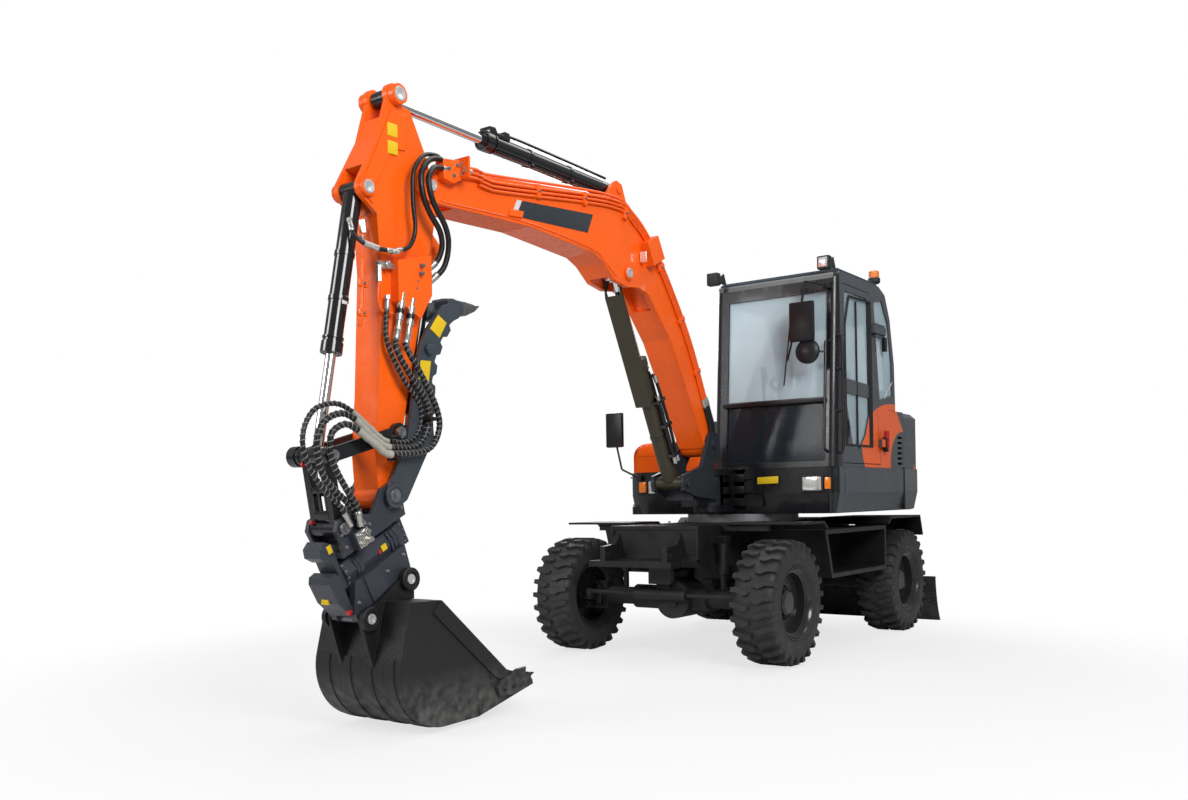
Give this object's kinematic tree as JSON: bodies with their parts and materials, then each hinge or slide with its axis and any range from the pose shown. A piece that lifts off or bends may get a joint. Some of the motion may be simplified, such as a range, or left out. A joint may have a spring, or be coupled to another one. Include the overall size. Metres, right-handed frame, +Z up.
{
  "type": "wheeled excavator",
  "caption": "Rubber-tyred excavator with swinging articulated boom, arm, tilting bucket and thumb, slewing cab and rear dozer blade.",
  "frame": {"origin": "floor level under the middle of the parked machine", "axes": "-Y towards the bucket, +X to the cab side (the machine's left), +Z up"},
  "size_m": [1.94, 6.034, 3.1876],
  "materials": {
    "black": "satin",
    "chrome": "polished",
    "cylinder": "gloss",
    "dark": "satin",
    "glass": "clear",
    "grey": "satin",
    "iron": "rough",
    "lamp": "clear",
    "olive": "satin",
    "orange": "gloss",
    "rim_black": "gloss",
    "seat": "matte",
    "steel": "satin",
    "tyre": "matte"
  },
  "bodies": {
    "chassis": {"chassis_frame": "black", "front_axle": "black", "lock_cylinders": "black", "rear_axle": "black", "driveline": "iron", "fenders": "black", "side_steps": "black", "slew_ring": "steel"},
    "knuckle_left": {"knuckle_left": "black"},
    "knuckle_right": {"knuckle_right": "black"},
    "steer_rod": {"steer_rod": "steel"},
    "wheel_front_left": {"rim_front_left": "rim_black", "tyre_front_left": "tyre"},
    "wheel_front_right": {"rim_front_right": "rim_black", "tyre_front_right": "tyre"},
    "wheel_rear_left": {"rim_rear_left": "rim_black", "tyre_rear_left": "tyre"},
    "wheel_rear_right": {"rim_rear_right": "rim_black", "tyre_rear_right": "tyre"},
    "blade": {"blade": "black"},
    "blade_barrel": {"blade_cyl_barrel": "cylinder"},
    "blade_rod": {"blade_cyl_rod": "chrome"},
    "upper": {"upper_frame": "black", "base_panels": "grey", "counterweight": "dark", "engine": "iron", "right_hood": "orange", "cab_shell": "grey", "cab_roof": "grey", "side_covers": "grey", "cab_glass": "glass", "seat": "seat", "lamps": "lamp", "mirrors": "black"},
    "hood": {"rear_hood": "grey"},
    "door": {"door": "grey", "door_glass": "glass"},
    "post": {"swing_post": "black"},
    "boom": {"boom": "orange"},
    "boom_barrel": {"boom_cyl_barrel": "olive"},
    "boom_rod": {"boom_cyl_rod": "chrome", "rod_guard": "olive"},
    "arm": {"arm": "orange"},
    "arm_barrel": {"arm_cyl_barrel": "cylinder"},
    "arm_rod": {"arm_cyl_rod": "chrome"},
    "bucket_barrel": {"bucket_cyl_barrel": "cylinder"},
    "bucket_rod": {"bucket_cyl_rod": "chrome"},
    "idler": {"idler_links": "black"},
    "push_link": {"push_link": "black"},
    "coupler": {"coupler_head": "dark"},
    "tool": {"coupler_foot": "dark", "bucket": "dark", "bucket_pins": "steel"},
    "thumb": {"thumb": "dark"},
    "thumb_barrel": {"thumb_cyl_barrel": "cylinder"},
    "thumb_rod": {"thumb_cyl_rod": "chrome"}
  },
  "joints": [
    {"name": "steer", "type": "hinge", "parent": "chassis", "child": "knuckle_left", "pos_m": [0.64, 0.145, 0.415], "axis": [0, 0, 1], "range_deg": [-30, 30]},
    {"name": "steer_right", "type": "hinge", "parent": "chassis", "child": "knuckle_right", "pos_m": [-0.64, 0.145, 0.415], "axis": [0, 0, 1], "range_deg": [-30, 30]},
    {"name": "steer_slide", "type": "slide", "parent": "chassis", "child": "steer_rod", "axis": [1, 0, 0], "range_m": [-0.095, 0.095]},
    {"name": "roll_front_left", "type": "hinge", "parent": "knuckle_left", "child": "wheel_front_left", "pos_m": [0.805, 0.145, 0.415], "axis": [1, 0, 0], "continuous": true},
    {"name": "roll_front_right", "type": "hinge", "parent": "knuckle_right", "child": "wheel_front_right", "pos_m": [-0.805, 0.145, 0.415], "axis": [1, 0, 0], "continuous": true},
    {"name": "roll_rear_left", "type": "hinge", "parent": "chassis", "child": "wheel_rear_left", "pos_m": [0.805, 2.255, 0.415], "axis": [1, 0, 0], "continuous": true},
    {"name": "roll_rear_right", "type": "hinge", "parent": "chassis", "child": "wheel_rear_right", "pos_m": [-0.805, 2.255, 0.415], "axis": [1, 0, 0], "continuous": true},
    {"name": "slew", "type": "hinge", "parent": "chassis", "child": "upper", "pos_m": [0, 1.2, 0.955], "axis": [0, 0, 1], "continuous": true},
    {"name": "blade_lift", "type": "hinge", "parent": "chassis", "child": "blade", "pos_m": [0, 2.5, 0.43], "axis": [1, 0, 0], "range_deg": [-12, 30]},
    {"name": "door_swing", "type": "hinge", "parent": "upper", "child": "door", "pos_m": [0.94, 1.8, 1.9], "axis": [0, 0, 1], "range_deg": [0, 110]},
    {"name": "hood_lift", "type": "hinge", "parent": "upper", "child": "hood", "pos_m": [0, 2.263, 1.791], "axis": [1, 0, 0], "range_deg": [0, 55]},
    {"name": "boom_swing", "type": "hinge", "parent": "upper", "child": "post", "pos_m": [0, 0.65, 1.15], "axis": [0, 0, 1], "range_deg": [-50, 80]},
    {"name": "boom_lift", "type": "hinge", "parent": "post", "child": "boom", "pos_m": [0, 0.52, 1.5], "axis": [-1, 0, 0], "range_deg": [-60, 35]},
    {"name": "arm_crowd", "type": "hinge", "parent": "boom", "child": "arm", "pos_m": [0, -2.32, 2.73], "axis": [1, 0, 0], "range_deg": [-80, 15]},
    {"name": "bucket_curl", "type": "hinge", "parent": "arm", "child": "coupler", "pos_m": [0, -2.63, 1.15], "axis": [1, 0, 0], "range_deg": [-95, 40]},
    {"name": "bucket_tilt", "type": "hinge", "parent": "coupler", "child": "tool", "pos_m": [0, -2.53385, 0.9577], "axis": [0, -0.8944, -0.4472], "range_deg": [-45, 45]},
    {"name": "thumb_close", "type": "hinge", "parent": "arm", "child": "thumb", "pos_m": [0, -2.63, 1.15], "axis": [1, 0, 0], "range_deg": [-105, 0]},
    {"name": "boom_cyl_pivot", "type": "hinge", "parent": "post", "child": "boom_barrel", "pos_m": [0, 0.14, 1.22], "axis": [1, 0, 0], "range_deg": [-36.8, 62.3]},
    {"name": "boom_cyl_slide", "type": "slide", "parent": "boom_barrel", "child": "boom_rod", "axis": [0, -0.4432, 0.8964], "range_m": [-0.4491, 0.2637]},
    {"name": "arm_cyl_pivot", "type": "hinge", "parent": "boom", "child": "arm_barrel", "pos_m": [0, -0.58, 3.11], "axis": [1, 0, 0], "range_deg": [-1.4, 3.4]},
    {"name": "arm_cyl_slide", "type": "slide", "parent": "arm_barrel", "child": "arm_rod", "axis": [0, -0.9999, 0.0102], "range_m": [-0.5862, 0.1132]},
    {"name": "bucket_cyl_pivot", "type": "hinge", "parent": "arm", "child": "bucket_barrel", "pos_m": [0, -2.74, 2.63], "axis": [1, 0, 0], "range_deg": [-3.9, 2.2]},
    {"name": "bucket_cyl_slide", "type": "slide", "parent": "bucket_barrel", "child": "bucket_rod", "axis": [0, -0.1903, -0.9817], "range_m": [-0.4318, 0.1841]},
    {"name": "thumb_cyl_pivot", "type": "hinge", "parent": "arm", "child": "thumb_barrel", "pos_m": [0, -2.24, 2.42], "axis": [1, 0, 0], "range_deg": [-1, 11]},
    {"name": "thumb_cyl_slide", "type": "slide", "parent": "thumb_barrel", "child": "thumb_rod", "axis": [0, -0.178, -0.984], "range_m": [-0.004, 0.5961]},
    {"name": "blade_cyl_pivot", "type": "hinge", "parent": "chassis", "child": "blade_barrel", "pos_m": [0, 2.585, 0.76], "axis": [1, 0, 0], "range_deg": [-6.3, 14.1]},
    {"name": "blade_cyl_slide", "type": "slide", "parent": "blade_barrel", "child": "blade_rod", "axis": [0, 0.4644, -0.8856], "range_m": [-0.1317, 0.0551]},
    {"name": "idler_pivot", "type": "hinge", "parent": "arm", "child": "idler", "pos_m": [0, -2.57, 1.46], "axis": [1, 0, 0], "range_deg": [-69.4, 29.8]},
    {"name": "push_pivot", "type": "hinge", "parent": "coupler", "child": "push_link", "pos_m": [0, -2.93, 1], "axis": [1, 0, 0], "range_deg": [-39.8, 93.1]}
  ],
  "couplings": [
    {"joint": "boom_cyl_pivot", "follows": "boom_lift", "ratio": -1.0223},
    {"joint": "boom_cyl_slide", "follows": "boom_lift", "m_per_rad": 0.42507},
    {"joint": "arm_cyl_pivot", "follows": "arm_crowd", "ratio": -0.03},
    {"joint": "arm_cyl_slide", "follows": "arm_crowd", "m_per_rad": 0.417},
    {"joint": "bucket_cyl_pivot", "follows": "bucket_curl", "ratio": 0.03},
    {"joint": "bucket_cyl_slide", "follows": "bucket_curl", "m_per_rad": 0.258},
    {"joint": "thumb_cyl_pivot", "follows": "thumb_close", "ratio": -0.095},
    {"joint": "thumb_cyl_slide", "follows": "thumb_close", "m_per_rad": -0.32312},
    {"joint": "blade_cyl_pivot", "follows": "blade_lift", "ratio": 0.4383},
    {"joint": "blade_cyl_slide", "follows": "blade_lift", "m_per_rad": -0.2438},
    {"joint": "idler_pivot", "follows": "bucket_curl", "ratio": 0.72},
    {"joint": "push_pivot", "follows": "bucket_curl", "ratio": -0.97},
    {"joint": "steer_right", "follows": "steer", "ratio": 1},
    {"joint": "steer_slide", "follows": "steer", "m_per_rad": 0.175}
  ]
}
